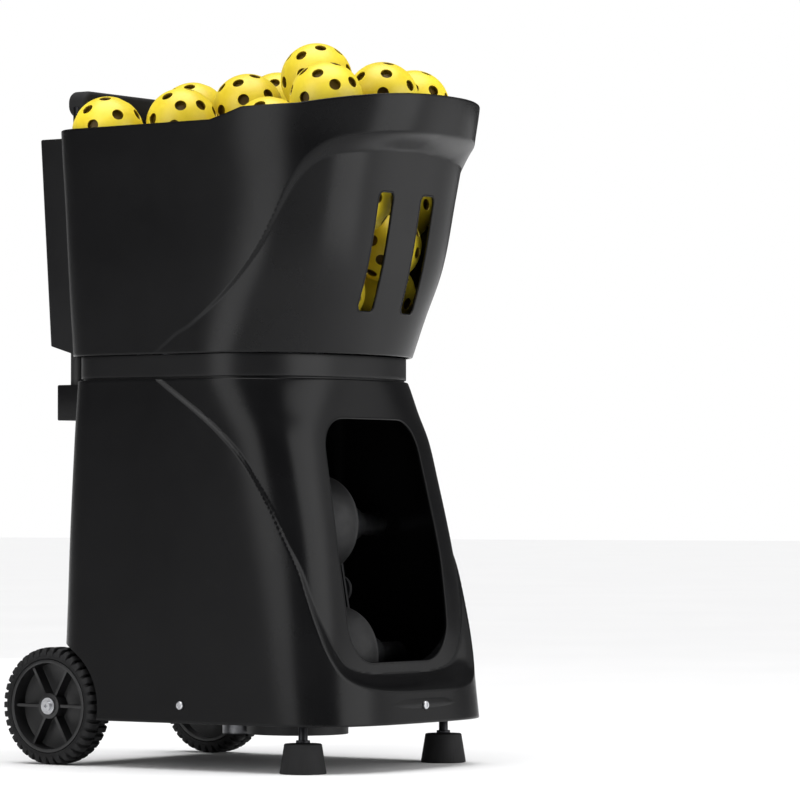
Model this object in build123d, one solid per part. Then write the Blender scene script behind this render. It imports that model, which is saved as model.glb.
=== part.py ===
from build123d import *
import math
import os

# Ball machine for perforated 74 mm balls. Millimetres, +Z up, the front faces -Y.
# The origin is on the floor, at the centre of the machine's plan.

# ---- driving dimensions ----
WALL = 3.5                       # moulded shells
REAR_CORNER = 35.0               # plan radius of the shells' rear corners

# shells as plan sections: height, half width, rear y, front y, y where the front curve starts, curve power
SKIRT = [(47, 151.0, 163.5, -199.5, -100, 3.4), (88, 150.5, 162.0, -196.0, -95, 3.3)]
BODY = [(88, 149.9, 161.4, -168.5, -92, 5.2), (138, 149.5, 159.6, -167.0, -86, 5.2),
        (190, 148.9, 157.7, -161.0, -72, 5.1), (225, 148.3, 156.4, -155.5, -58, 5.0),
        (291, 147.2, 153.0, -142.5, -46, 4.5), (331, 146.6, 150.9, -134.5, -40, 4.0),
        (358, 146.3, 149.3, -130.5, -32, 3.1), (392, 146.0, 147.3, -127.5, -24, 2.4)]
NECK = [(394, 144.3, 146.0, -125.5, -24, 2.4), (416.7, 144.3, 146.0, -125.5, -24, 2.4)]
FUNNEL = [(417, 147.0, 154.3, -138.5, -20, 2.27), (459, 148.0, 156.5, -151.0, -20, 2.6),
          (504, 149.0, 158.8, -163.5, -25, 3.1), (578, 150.0, 162.6, -178.0, -35, 3.35),
          (630, 151.0, 165.4, -188.0, -40, 3.4)]
BAND = [(630, 151.8, 166.2, -217.0, -50, 2.45), (676, 152.2, 168.4, -227.5, -50, 2.42),
        (690, 152.3, 169.0, -228.5, -50, 2.42)]
RIM_PROFILE = [(190, 649), (-44, 650), (-62, 655), (-80, 661), (-140, 662.5), (-250, 678.5)]
HOPPER_WALL = 4.0

# ball exit opening: height and half width of its corners, from the bottom up
EXIT_OUTLINE = [(107, 87), (215, 90), (353, 80)]
EXIT_CORNER = 34.0
SLOT_X, SLOT_WIDTH, SLOT_LOW, SLOT_HIGH = 36.0, 25.0, 459.0, 579.0
SLOT_CORNER = 7.0

WHEEL_R, WHEEL_WIDTH, WHEEL_X = 60.0, 31.0, 134.0   # transport wheels
WHEEL_Y, WHEEL_Z, RIM_R = 167.5, 60.0, 47.5
AXLE_R = 6.0
ARCH_R, ARCH_X = 66.0, 114.0
LUGS = 40

FOOT_X, FOOT_Y = 123.0, -136.5
FOOT_LOW_R, FOOT_HIGH_R, FOOT_HEIGHT, STEM_R = 23.4, 18.6, 29.8, 4.65

PLATE_LOW, PLATE_HIGH = 50.0, 53.0               # base plate
YAW_Y = -40.0                                    # turntable axis
PAN_R, PAN_LOW = 52.0, 32.0
GEAR_MODULE, GEAR_TEETH, PINION_TEETH = 2.0, 54, 19
GEAR_LOW, GEAR_THICK = 54.5, 5.0
SWING_MOTOR_R = 18.5

LAUNCH_R, LAUNCH_WIDTH, TREAD_BORE, GROOVE = 50.0, 56.0, 34.0, 9.0
UPPER_Y, UPPER_Z = -47.6, 246.0
LOWER_Y, LOWER_Z = -72.6, 112.0
PIVOT_Y, PIVOT_Z = (UPPER_Y + LOWER_Y) / 2, (UPPER_Z + LOWER_Z) / 2
SHAFT_R, PIN_R = 4.0, 5.0
RUNNING = 0.05                                   # radial running clearance
CRADLE_X, CRADLE_THICK = 34.0, 3.0
YOKE_X, YOKE_THICK = 44.0, 4.0
GUIDE_X, GUIDE_THICK = 40.5, 2.0

DECK_LOW, DECK_HIGH = 427.0, 430.0               # feed deck and disc
DISC_Y, DISC_R, DISC_LOW, DISC_HIGH = -17.0, 107.0, 431.0, 446.0
POCKET_R, POCKET_RING, POCKETS = 39.5, 62.0, 4
DROP_Y, DROP_R, DROP_LOW = 45.0, 40.0, 312.0
CONE_R, CONE_SLOPE = 109.0, 0.47

BOX_X, BOX_LOW_Y, BOX_HIGH_Y = 95.0, 210.3, 224.5   # rear box
BOX_LOW, BOX_HIGH, BOX_FOOT = 431.0, 646.0, 419.0
TUBE_X, TUBE_Y, TUBE_R, ROD_R = 65.0, 196.0, 8.0, 6.0
GRIP_X, GRIP_LOW, GRIP_HIGH, GRIP_DEEP = 70.0, 671.0, 698.0, 24.0
BRACKET_X, BRACKET_LOW, BRACKET_HIGH, BRACKET_REAR = 80.0, 353.5, 390.5, 213.5

BALL_R, BALL_WALL, BALL_HOLE_R = 37.0, 2.0, 5.75
# balls that stand above the rim, as placed
TOP_BALLS = [(-107, 123.5, 648), (-60, 63.8, 657), (20, 110.6, 672), (4, 27, 675), (-80, -62, 640),
             (90, 51.6, 685), (20, -49, 703.5), (-60, -119, 673.5), (30, -124.6, 680.5), (105, -112, 679)]

os.makedirs("parts", exist_ok=True)


def save(name, shape):
    export_step(shape, f"parts/{name}.step")


def block(x, y, z):
    """A box given by its limits along each axis."""
    size = [b - a for a, b in (x, y, z)]
    centre = [(a + b) / 2 for a, b in (x, y, z)]
    return Pos(*centre) * Box(*size)


def rod_x(radius, x0, x1, y, z):
    return Pos((x0 + x1) / 2, y, z) * Rot(0, 90, 0) * Cylinder(radius, x1 - x0)


def rod_y(radius, x, y0, y1, z):
    return Pos(x, (y0 + y1) / 2, z) * Rot(90, 0, 0) * Cylinder(radius, y1 - y0)


def rod_z(radius, x, y, z0, z1):
    return Pos(x, y, (z0 + z1) / 2) * Cylinder(radius, z1 - z0)


def mirrored(shape):
    return shape + mirror(shape, about=Plane.YZ)


# ---- shells ----
def section_at(sections, z):
    """The plan section at a height, between the two nearest stated ones."""
    z = min(max(z, sections[0][0]), sections[-1][0])
    for low, high in zip(sections, sections[1:]):
        if z <= high[0]:
            t = (z - low[0]) / (high[0] - low[0])
            return (z,) + tuple(a + (b - a) * t for a, b in zip(low[1:], high[1:]))


def plan_face(section, inset):
    """Flat rear and sides, round rear corners and a bowed front."""
    z, half_width, rear, front, start, power = section
    w, yr, r = half_width - inset, rear - inset, REAR_CORNER - inset
    depth = start - (front + inset)

    def front_point(degrees):
        a = math.radians(degrees)
        return (w * math.cos(a) ** (2 / power), start - depth * math.sin(a) ** (2 / power))

    right = [front_point(a) for a in (0, 10, 22, 36, 52, 70)]
    points = right + [(0, start - depth)] + [(-x, y) for x, y in reversed(right)]
    k = r * (1 - math.sqrt(0.5))
    edges = [Spline(*points, tangents=[(0, -1), (0, 1)]),
             Line((-w, start), (-w, yr - r)),
             ThreePointArc((-w, yr - r), (-w + k, yr - k), (-w + r, yr)),
             Line((-w + r, yr), (w - r, yr)),
             ThreePointArc((w - r, yr), (w - k, yr - k), (w, yr - r)),
             Line((w, yr - r), (w, start))]
    return Pos(0, 0, z) * make_face(Wire(edges))


def shell_solid(sections, inset=0.0, low=None, high=None):
    """A solid through the sections, cut off or carried straight on to the stated heights."""
    rows = list(sections)
    if low is not None:
        kept = [s for s in rows if s[0] > low]
        first = section_at(rows, low)
        rows = [(low,) + first[1:]] + kept
    if high is not None:
        kept = [s for s in rows if s[0] < high]
        last = section_at(rows, high)
        rows = kept + [(high,) + last[1:]]
    return loft([plan_face(s, inset) for s in rows], ruled=True)


def exit_hole():
    """The ball exit: a bowed outline with round corners, cut from front to back."""
    right = [(half_width, z) for z, half_width in EXIT_OUTLINE]
    face = make_face(Polyline(*right, *[(-x, z) for x, z in reversed(right)], close=True))
    rows = face.vertices().group_by(Axis.Y)
    face = fillet(rows[0] + rows[-1], EXIT_CORNER)
    return extrude(Plane.XZ.offset(100) * face, 140)


def base_shell():
    outer = shell_solid(SKIRT) + shell_solid(BODY)
    cavity = (shell_solid(SKIRT, WALL, low=46, high=88 - WALL)
              + shell_solid(BODY, WALL, low=88 - WALL - 1, high=393))
    arches = mirrored(rod_x(ARCH_R + 3, ARCH_X - 3, 160, WHEEL_Y, WHEEL_Z))
    shell = (outer - cavity) + (outer & arches)
    shell -= mirrored(rod_x(ARCH_R, ARCH_X, 170, WHEEL_Y, WHEEL_Z))
    shell -= rod_x(AXLE_R + 1, -130, 130, WHEEL_Y, WHEEL_Z)
    shell -= block((-108, 108), (120, 200), (40, 76))
    shell -= exit_hole()
    for x, y, axis in SCREW_PLACES:
        shell -= screw_rod(2.3, 8, x, y, axis)
    return shell


def neck_band():
    return shell_solid(NECK) - shell_solid(NECK, WALL, low=393, high=418)


def rim_cutter():
    line = Polyline(*RIM_PROFILE, (-250, 720), (190, 720), close=True)
    face = Plane.YZ * make_face(line)
    return extrude(face, 200, both=True)


def hopper_shell():
    outer = shell_solid(FUNNEL) + shell_solid(BAND)
    ledge = FUNNEL[-1][0] + HOPPER_WALL
    cavity = (shell_solid(FUNNEL, HOPPER_WALL, low=416, high=ledge)
              + shell_solid(BAND, HOPPER_WALL, low=ledge, high=691))
    shell = outer - cavity - rim_cutter()
    slot = RectangleRounded(SLOT_WIDTH, SLOT_HIGH - SLOT_LOW, SLOT_CORNER)
    slot = Rot(90, 0, 0) * extrude(slot, 60, both=True)
    for side in (-1, 1):
        shell -= Pos(side * SLOT_X, -170, (SLOT_LOW + SLOT_HIGH) / 2) * slot
    return shell


# ---- base: plate, posts, axle, wheels, feet ----
SCREW_Z = 65.0
SCREW_PLACES = [(-150.9, -5, "x"), (150.9, -5, "x"), (0, -198.4, "y")]


def screw_rod(radius, length, x, y, axis):
    """A rod of that length to each side of the shell's outer face."""
    if axis == "x":
        return rod_x(radius, x - length, x + length, y, SCREW_Z)
    return rod_y(radius, x, y - length, y + length, SCREW_Z)


def shell_screws():
    screws = []
    for x, y, axis in SCREW_PLACES:
        turn = Rot(0, 90 if x > 0 else -90, 0) if axis == "x" else Rot(90, 0, 0)
        head = Pos(0, 0, 1.15) * Cylinder(4.2, 2.2) + rod_z(2.0, 0, 0, -11, 0.5)
        head = fillet(head.edges().group_by(Axis.Z)[-1], 1.2)
        head -= Pos(0, 0, 2.2) * Box(4.4, 0.9, 1.4) + Pos(0, 0, 2.2) * Box(0.9, 4.4, 1.4)
        screws.append(Pos(x, y, SCREW_Z) * turn * head)
    return Compound(children=screws)


def base_plate():
    outline = shell_solid(SKIRT, WALL + 0.4, low=PLATE_LOW, high=PLATE_HIGH)
    plate = outline - mirrored(block((ARCH_X - 3.4, 160), (WHEEL_Y - ARCH_R - 3.4, 200), (40, 60)))
    plate -= block((-160, 160), (158, 200), (40, 60))
    pan = rod_z(PAN_R, 0, YAW_Y, PAN_LOW, PLATE_LOW + 1)
    plate += pan
    plate -= rod_z(PAN_R - 3, 0, YAW_Y, PAN_LOW + 3, 60)
    plate += rod_z(22, 0, YAW_Y, PAN_LOW + 2, 46)
    plate -= rod_z(18.02, 0, YAW_Y, PAN_LOW + 3, 60)
    plate -= rod_z(8, 0, PINION_Y, 40, 60)
    for x, y, axis in SCREW_PLACES:
        if axis == "x":
            tab = block((abs(x) - 9, abs(x) - 4.4), (y - 8, y + 8), (PLATE_LOW + 1, 74))
            tab = tab if x > 0 else mirror(tab, about=Plane.YZ)
        else:
            tab = block((-8, 8), (y + 5.8, y + 10.4), (PLATE_LOW + 1, 74))
        plate += tab - screw_rod(2.1, 12, x, y, axis)
    plate -= mirrored(rod_z(STEM_R + 0.1, FOOT_X, FOOT_Y, 40, 60))
    return plate


POST_PLACES = [(126, 28), (-126, 28), (96, 84), (-96, 84)]


def frame_posts():
    return Compound(children=[rod_z(8, x, y, PLATE_HIGH, DECK_LOW) for x, y in POST_PLACES])


def axle_bracket():
    beam = block((-104, 104), (159, 176.5), (49, 74)) + block((-104, 104), (140, 160), (PLATE_HIGH + 0.1, 58))
    return beam - rod_x(AXLE_R + 0.02, -110, 110, WHEEL_Y, WHEEL_Z)


def axle():
    return rod_x(AXLE_R, -WHEEL_X - 14, WHEEL_X + 14, WHEEL_Y, WHEEL_Z)


def tyre():
    """Right-hand tyre: a rounded ring cut across by tread grooves."""
    half = WHEEL_WIDTH / 2
    ring = Cylinder(WHEEL_R, WHEEL_WIDTH)
    ring = fillet(ring.edges(), 5)
    ring -= Cylinder(RIM_R, WHEEL_WIDTH + 2)
    groove = Pos(WHEEL_R, 0, 0) * Box(5.0, 3.2, WHEEL_WIDTH + 2)
    grooves = [Rot(0, 0, 360 * (k + 0.5) / LUGS) * groove for k in range(LUGS)]
    centre_band = Cylinder(WHEEL_R - 2.5, 8)
    ring -= Compound(children=grooves)
    ring += centre_band - Cylinder(RIM_R, half)
    return Pos(WHEEL_X, WHEEL_Y, WHEEL_Z) * Rot(0, 90, 0) * ring


def rim():
    """Right-hand rim: hub, dished web with six ribs, and the seat of the tyre."""
    seat = Cylinder(RIM_R - 0.05, WHEEL_WIDTH) - Cylinder(RIM_R - 3.5, WHEEL_WIDTH + 2)
    web = Pos(0, 0, -3) * Cylinder(RIM_R - 3, 3)
    hub = Cylinder(13, WHEEL_WIDTH - 4)
    rib = Pos((RIM_R - 3 + 12) / 2, 0, 4) * Box(RIM_R - 14, 3, 14)
    ribs = [Rot(0, 0, 60 * k + 90) * rib for k in range(6)]
    wheel = seat + web + hub
    for one in ribs:
        wheel += one
    wheel -= Cylinder(AXLE_R + RUNNING, 60)
    return Pos(WHEEL_X, WHEEL_Y, WHEEL_Z) * Rot(0, 90, 0) * wheel


def axle_screw():
    face = WHEEL_X + 14
    washer = rod_x(8.5, face + 0.01, face + 1.4, WHEEL_Y, WHEEL_Z)
    head = rod_x(5.0, face + 1.3, face + 4.2, WHEEL_Y, WHEEL_Z) - rod_x(2.0, face + 2.2, face + 6, WHEEL_Y, WHEEL_Z)
    return washer + head


def foot_cup(side):
    cup = Pos(side * FOOT_X, FOOT_Y, FOOT_HEIGHT / 2) * Cone(FOOT_LOW_R, FOOT_HIGH_R, FOOT_HEIGHT)
    cup = fillet(cup.edges().group_by(Axis.Z)[-1], 1.5)
    return cup - rod_z(STEM_R + 0.02, side * FOOT_X, FOOT_Y, 12, 40)


def foot_stem(side):
    return rod_z(STEM_R, side * FOOT_X, FOOT_Y, 12, 80) + rod_z(7, side * FOOT_X, FOOT_Y, FOOT_HEIGHT + 0.1, 33)


def foot_nuts():
    nut = extrude(RegularPolygon(9, 6), 8) - Cylinder(STEM_R + 0.1, 30)
    return Compound(children=[Pos(s * FOOT_X, FOOT_Y, PLATE_HIGH) * nut for s in (-1, 1)])


# ---- oscillation drive ----
PINION_Y = YAW_Y + GEAR_MODULE * (GEAR_TEETH + PINION_TEETH) / 2


def gear(teeth, first_tooth_degrees):
    """Involute spur gear with backlash, flat on Z = 0."""
    pitch_r = GEAR_MODULE * teeth / 2
    base_r = pitch_r * math.cos(math.radians(20))
    tip_r, root_r = pitch_r + 0.9 * GEAR_MODULE, pitch_r - 1.2 * GEAR_MODULE

    def involute(radius):
        a = math.acos(base_r / radius)
        return math.tan(a) - a

    half = math.pi / (2 * teeth) - 0.12 / pitch_r
    flank = [max(base_r, root_r) + (tip_r - max(base_r, root_r)) * t for t in (0, 0.35, 0.7, 1)]
    points = []
    for k in range(teeth):
        middle = math.radians(first_tooth_degrees) + 2 * math.pi * k / teeth
        side = [(r, half + involute(pitch_r) - involute(r)) for r in flank]
        path = side if root_r >= base_r else [(root_r, side[0][1])] + side
        for r, a in path:
            points.append((r * math.cos(middle - a), r * math.sin(middle - a)))
        for r, a in reversed(path):
            points.append((r * math.cos(middle + a), r * math.sin(middle + a)))
    return extrude(make_face(Polyline(*points, close=True)), GEAR_THICK)


def turntable_gear():
    disc = Pos(0, YAW_Y, GEAR_LOW) * gear(GEAR_TEETH, 90)
    disc += rod_z(15, 0, YAW_Y, PAN_LOW + 3.3, GEAR_LOW + 1)
    return disc - rod_z(6, 0, YAW_Y, 30, 80)


def yaw_bushing():
    return rod_z(18, 0, YAW_Y, PAN_LOW + 3, 50) + rod_z(21.5, 0, YAW_Y, 50, GEAR_LOW - 0.3) \
        - rod_z(15 + RUNNING, 0, YAW_Y, 30, 60)


def swing_motor():
    can = rod_z(SWING_MOTOR_R, 0, PINION_Y, 29.5, PLATE_LOW)
    can = fillet(can.edges().group_by(Axis.Z)[0], 1.5)
    return can - rod_z(3 + RUNNING, 0, PINION_Y, 40, 60)


def swing_pinion():
    turned = Pos(0, PINION_Y, GEAR_LOW) * gear(PINION_TEETH, 270 + 180 / PINION_TEETH)
    return turned + rod_z(3, 0, PINION_Y, 42, GEAR_LOW + 1)


# ---- launch head ----
def yoke(side):
    outline = Polyline((-44, GEAR_LOW + GEAR_THICK), (-22, GEAR_LOW + GEAR_THICK), (10, 108), (60, 128), (88, 150),
                       (88, 200), (-30, 200), (PIVOT_Y, PIVOT_Z + 14), (PIVOT_Y - 14, PIVOT_Z),
                       (PIVOT_Y, PIVOT_Z - 14), (-36, 150), (-34, 90), close=True)
    plate = extrude(Plane.YZ.offset(YOKE_X) * make_face(outline), YOKE_THICK)
    plate += rod_x(14, YOKE_X, YOKE_X + YOKE_THICK, PIVOT_Y, PIVOT_Z)
    foot_z = GEAR_LOW + GEAR_THICK
    plate += block((YOKE_X - 6, YOKE_X + 1), (-50, -22), (foot_z, foot_z + 4))
    plate -= rod_x(PIN_R + RUNNING, 30, 60, PIVOT_Y, PIVOT_Z)
    window = Polyline((20, 140), (66, 158), (66, 186), (-10, 186), (-10, 150), close=True)
    plate -= extrude(Plane.YZ.offset(40) * make_face(window), 12)
    return plate if side > 0 else mirror(plate, about=Plane.YZ)


def ball_guide():
    """Trough behind the wheels: side walls, rear wall and a floor that falls towards the wheels."""
    x0, x1 = GUIDE_X, GUIDE_X + GUIDE_THICK
    side = Polyline((-16, 134), (84, 154), (86, 300), (60, 300), (24, 222), (-16, 214), close=True)
    wall = mirrored(extrude(Plane.YZ.offset(x0) * make_face(side), x1 - x0))
    floor_line = Polyline((-16, 136), (84, 156), (84, 154), (-16, 134), close=True)
    floor = extrude(Plane.YZ.offset(-x1) * make_face(floor_line), 2 * x1)
    rear = block((-x1, x1), (84, 86), (154, 300))
    lugs = mirrored(rod_x(4, x1 - 0.5, YOKE_X, 78, 192) + rod_x(4, x1 - 0.5, YOKE_X, 78, 156))
    return wall + floor + rear + lugs


def cradle_plate(side):
    tilt = math.degrees(math.atan2(UPPER_Y - LOWER_Y, UPPER_Z - LOWER_Z))
    long = math.hypot(UPPER_Y - LOWER_Y, UPPER_Z - LOWER_Z)
    strip = SlotCenterToCenter(long, 30, rotation=90)
    plate = Pos(0, PIVOT_Y, PIVOT_Z) * Rot(-tilt, 0, 0) * (Plane.YZ * strip)
    plate = Pos(CRADLE_X, 0, 0) * extrude(plate, CRADLE_THICK, dir=(1, 0, 0))
    plate -= rod_x(PIN_R, 30, 40, PIVOT_Y, PIVOT_Z)
    for y, z in ((UPPER_Y, UPPER_Z), (LOWER_Y, LOWER_Z)):
        plate -= rod_x(SHAFT_R + RUNNING, 30, 40, y, z)
    return plate if side > 0 else mirror(plate, about=Plane.YZ)


def pivot_pins():
    pin = rod_x(PIN_R, CRADLE_X, YOKE_X + YOKE_THICK + 8, PIVOT_Y, PIVOT_Z)
    pin += rod_x(9, CRADLE_X + CRADLE_THICK, CRADLE_X + CRADLE_THICK + 3, PIVOT_Y, PIVOT_Z)
    return Compound(children=[pin, mirror(pin, about=Plane.YZ)])


def elevation_motor():
    x0 = YOKE_X + YOKE_THICK
    can = rod_x(16, -x0 - 46, -x0, PIVOT_Y, PIVOT_Z)
    can = fillet(can.edges().group_by(Axis.X)[0], 2)
    can += rod_x(9, -x0 - 54, -x0 - 45, PIVOT_Y, PIVOT_Z)
    return can - rod_x(PIN_R + RUNNING, -x0 - 9, -x0 + 1, PIVOT_Y, PIVOT_Z)


def launch_hub(y, z):
    ring = Cylinder(TREAD_BORE, LAUNCH_WIDTH - 4) - Cylinder(TREAD_BORE - 4, LAUNCH_WIDTH)
    hub = ring + Cylinder(9, LAUNCH_WIDTH - 4) + Cylinder(TREAD_BORE - 3, 5)
    hub += Pos(0, 0, 3.5) * Cylinder(SHAFT_R, 2 * CRADLE_X + 13)
    return Pos(0, y, z) * Rot(0, 90, 0) * hub


def launch_tread(y, z):
    ring = fillet(Cylinder(LAUNCH_R, LAUNCH_WIDTH).edges(), 2) - Cylinder(TREAD_BORE + 0.02, LAUNCH_WIDTH + 2)
    groove_r = LAUNCH_R - GROOVE
    cutter_r = ((LAUNCH_WIDTH / 2 - 4) ** 2 + GROOVE ** 2) / (2 * GROOVE)
    profile = Plane.XZ * (Pos(groove_r + cutter_r, 0) * Circle(cutter_r))
    ring -= revolve(profile, Axis.Z)
    return Pos(0, y, z) * Rot(0, 90, 0) * ring


def launch_motor(y, z):
    x0 = CRADLE_X + CRADLE_THICK
    can = fillet(rod_x(17.5, x0, 86, y, z).edges().group_by(Axis.X)[-1], 2.5)
    can += fillet(rod_x(11.5, 85, 132, y, z).edges().group_by(Axis.X)[-1], 1.5)
    return can - rod_x(SHAFT_R + RUNNING, x0 - 1, x0 + 8, y, z)


# ---- feed ----
def feed_deck():
    deck = shell_solid(FUNNEL, HOPPER_WALL + 0.6, low=DECK_LOW, high=DECK_HIGH)
    deck -= rod_z(DROP_R, 0, DROP_Y, 400, 440) + rod_z(4.5, 0, DISC_Y, 400, 440)
    return deck


def feed_funnel():
    """Insert that leads the balls from the hopper walls down onto the disc."""
    low, high = DECK_HIGH + 0.05, 478.0
    height = high - low
    block_in = shell_solid(FUNNEL, HOPPER_WALL + 0.6, low=low, high=high)
    cone = Pos(0, DISC_Y, low + height / 2) * Cone(CONE_R, CONE_R + height / CONE_SLOPE, height)
    return block_in - cone


def feed_disc():
    disc = fillet(rod_z(DISC_R, 0, DISC_Y, DISC_LOW, DISC_HIGH).edges().group_by(Axis.Z)[-1], 3)
    for k in range(POCKETS):
        a = math.radians(90 + 360 * k / POCKETS)
        disc -= rod_z(POCKET_R, POCKET_RING * math.cos(a), DISC_Y + POCKET_RING * math.sin(a), 420, 460)
    disc += Pos(0, DISC_Y, DISC_HIGH + 6.9) * Cone(22, 8, 14)
    return disc + rod_z(4, 0, DISC_Y, DECK_LOW - 9, DISC_LOW + 1)


def feed_motor():
    can = fillet(rod_z(18.5, 0, DISC_Y, 358, DECK_LOW - 0.05).edges().group_by(Axis.Z)[0], 2)
    return can - rod_z(4 + RUNNING, 0, DISC_Y, DECK_LOW - 10, DECK_LOW + 1)


def drop_tube():
    tube = rod_z(DROP_R + 2, 0, DROP_Y, DROP_LOW, DECK_LOW - 0.05)
    flange = rod_z(DROP_R + 8, 0, DROP_Y, DECK_LOW - 3, DECK_LOW - 0.05)
    flange -= rod_z(18.8, 0, DISC_Y, 400, 440)
    return tube + flange - rod_z(DROP_R, 0, DROP_Y, DROP_LOW - 1, 440)


# ---- power ----
def battery():
    return fillet(block((-80, 80), (62, 134), (PLATE_HIGH, 112)).edges().filter_by(Axis.Z), 5)


def battery_strap():
    outer = block((-12, 12), (59.8, 136.2), (PLATE_HIGH, 114.2))
    return outer - block((-13, 13), (61.9, 134.1), (PLATE_HIGH - 1, 112.1))


def control_board():
    board = block((-138, -136.4), (44, 130), (150, 260))
    board += block((-136.5, -120), (52, 82), (200, 240)) + block((-136.5, -127), (92, 122), (165, 245))
    return board


# ---- rear box, panel and handle ----
def box_rear(z):
    return BOX_LOW_Y + (BOX_HIGH_Y - BOX_LOW_Y) * (z - BOX_LOW) / (BOX_HIGH - BOX_LOW)


def box_prism(inset, y_inner):
    x = BOX_X - inset
    line = Polyline((y_inner, BOX_FOOT + inset), (170, BOX_FOOT + inset), (box_rear(BOX_LOW) - inset, BOX_LOW + inset),
                    (box_rear(BOX_HIGH) - inset, BOX_HIGH - inset), (y_inner, BOX_HIGH - inset), close=True)
    return extrude(Plane.YZ.offset(-x) * make_face(line), 2 * x)


def rear_box():
    shell = box_prism(0, 120)
    rear_edges = shell.edges().filter_by(lambda e: e.center().Y > 205)
    shell = fillet(rear_edges, 4) - box_prism(3, 110)
    shell -= shell_solid(FUNNEL, -0.3, low=410, high=630) + shell_solid(BAND, -0.3)
    for s in (-1, 1):
        shell -= rod_z(TUBE_R + 0.3, s * TUBE_X, TUBE_Y, 400, 700)
    shell -= panel_place() * Box(PANEL_WIDE - 6, PANEL_TALL - 6, 30)
    return shell


PANEL_WIDE, PANEL_TALL, PANEL_Z, PANEL_THICK = 130.0, 110.0, 560.0, 3.0
BUTTON_R, BUTTON_X = 6.0, (-36.0, -12.0, 12.0, 36.0)
BUTTON_DOWN, LOWER_ROW = -14.0, -38.0


def panel_place(height=0.0):
    """Frame on the rear box's sloping rear face: x across, y up the face, z outwards."""
    lean = math.degrees(math.atan2(BOX_HIGH_Y - BOX_LOW_Y, BOX_HIGH - BOX_LOW))
    return Pos(0, box_rear(PANEL_Z), PANEL_Z) * Rot(-90 - lean, 0, 0) * Rot(0, 0, 180) * Pos(0, 0, height)


def control_panel():
    panel = fillet(Box(PANEL_WIDE, PANEL_TALL, PANEL_THICK).edges().filter_by(Axis.Z), 8)
    panel = Pos(0, 0, PANEL_THICK / 2 + 0.05) * panel
    panel += Pos(0, 0, -3) * (Box(PANEL_WIDE - 7, PANEL_TALL - 7, 7) - Box(PANEL_WIDE - 11, PANEL_TALL - 11, 9))
    panel -= Pos(0, 26, 2.6) * Box(88, 34, 2)
    for x in BUTTON_X:
        panel -= Pos(x, BUTTON_DOWN, 0) * Cylinder(BUTTON_R + 0.25, 20)
    panel -= Pos(-30, LOWER_ROW, 0) * Box(27.6, 15.6, 20)
    panel -= Pos(32, LOWER_ROW, 0) * Cylinder(8.02, 20)
    return panel_place() * panel


def display():
    return panel_place() * (Pos(0, 26, 2.2) * Box(87, 33, 1.1))


def push_button(x):
    button = fillet(Cylinder(BUTTON_R, 7).edges().group_by(Axis.Z)[-1], 1)
    return panel_place() * (Pos(x, BUTTON_DOWN, 1.3) * button)


def power_rocker():
    """Rocker with a shallow V top, on a pin across the switch."""
    line = Polyline((-6.6, 4.2), (0, 2.4), (6.6, 5.4), (5.2, -4), (-5.2, -4), close=True)
    rocker = extrude(Plane.YZ.offset(-12) * make_face(line), 24)
    return panel_place() * (Pos(-30, LOWER_ROW, 0) * rocker)


def rocker_frame():
    frame = Box(27.4, 15.4, 11) - Box(24.6, 20, 20) + Pos(0, 0, -6) * Box(27.4, 15.4, 1.6)
    return panel_place() * (Pos(-30, LOWER_ROW, -2) * frame)


def charging_socket():
    socket = Pos(0, 0, -3.8) * Cylinder(8, 14.4) + Pos(0, 0, 3.8) * Cylinder(10, 1.4)
    socket -= Pos(0, 0, 1) * Cylinder(3.2, 12)
    socket += Pos(0, 0, -1) * Cylinder(1.0, 9)
    return panel_place() * (Pos(32, LOWER_ROW, 0) * socket)


def handle_bracket():
    bracket = block((-BRACKET_X, BRACKET_X), (140, BRACKET_REAR), (BRACKET_LOW, BRACKET_HIGH))
    bracket = fillet(bracket.edges().filter_by(lambda e: e.center().Y > 205), 3.5)
    bracket -= shell_solid(BODY, -0.2, low=340, high=400)
    for s in (-1, 1):
        bracket -= rod_z(TUBE_R + 0.02, s * TUBE_X, TUBE_Y, BRACKET_LOW + 4, 400)
    return bracket


def handle_tubes():
    tube = rod_z(TUBE_R, TUBE_X, TUBE_Y, BRACKET_LOW + 4, BOX_HIGH + 4)
    tube -= rod_z(ROD_R + RUNNING, TUBE_X, TUBE_Y, BRACKET_LOW + 8, BOX_HIGH + 5)
    return Compound(children=[tube, mirror(tube, about=Plane.YZ)])


def handle_rods():
    rod = rod_z(ROD_R, TUBE_X, TUBE_Y, BRACKET_LOW + 10, GRIP_LOW + 10)
    return Compound(children=[rod, mirror(rod, about=Plane.YZ)])


def handle_grip():
    bar = block((-GRIP_X, GRIP_X), (TUBE_Y - GRIP_DEEP / 2, TUBE_Y + GRIP_DEEP / 2), (GRIP_LOW, GRIP_HIGH))
    bar = fillet(bar.edges().filter_by(Axis.Y), 12)
    bar = fillet(bar.edges().filter_by(lambda e: abs(e.center().Y - TUBE_Y) > 10), 5)
    for s in (-1, 1):
        bar -= rod_z(ROD_R + 0.02, s * TUBE_X, TUBE_Y, GRIP_LOW - 1, GRIP_LOW + 10)
    return bar


# ---- the load of balls ----
def inner_plan(z):
    return section_at(FUNNEL if z < 626 else BAND, z)


def inside_hopper(x, y, z):
    """True if a ball at this place stays off the hopper's walls."""
    _, half_width, rear, front, start, power = inner_plan(z)
    gap = BALL_R + HOPPER_WALL + 1.5
    if abs(x) > half_width - gap or y > rear - gap:
        return False
    for k in range(24):
        a = 2 * math.pi * k / 24
        px, py = abs(x + gap * math.cos(a)), y + gap * math.sin(a)
        if py < start:
            across, deep = px / half_width, (start - py) / (start - front)
            if across >= 1 or deep >= 1 or across ** power + deep ** power > 1:
                return False
    return True


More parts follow.
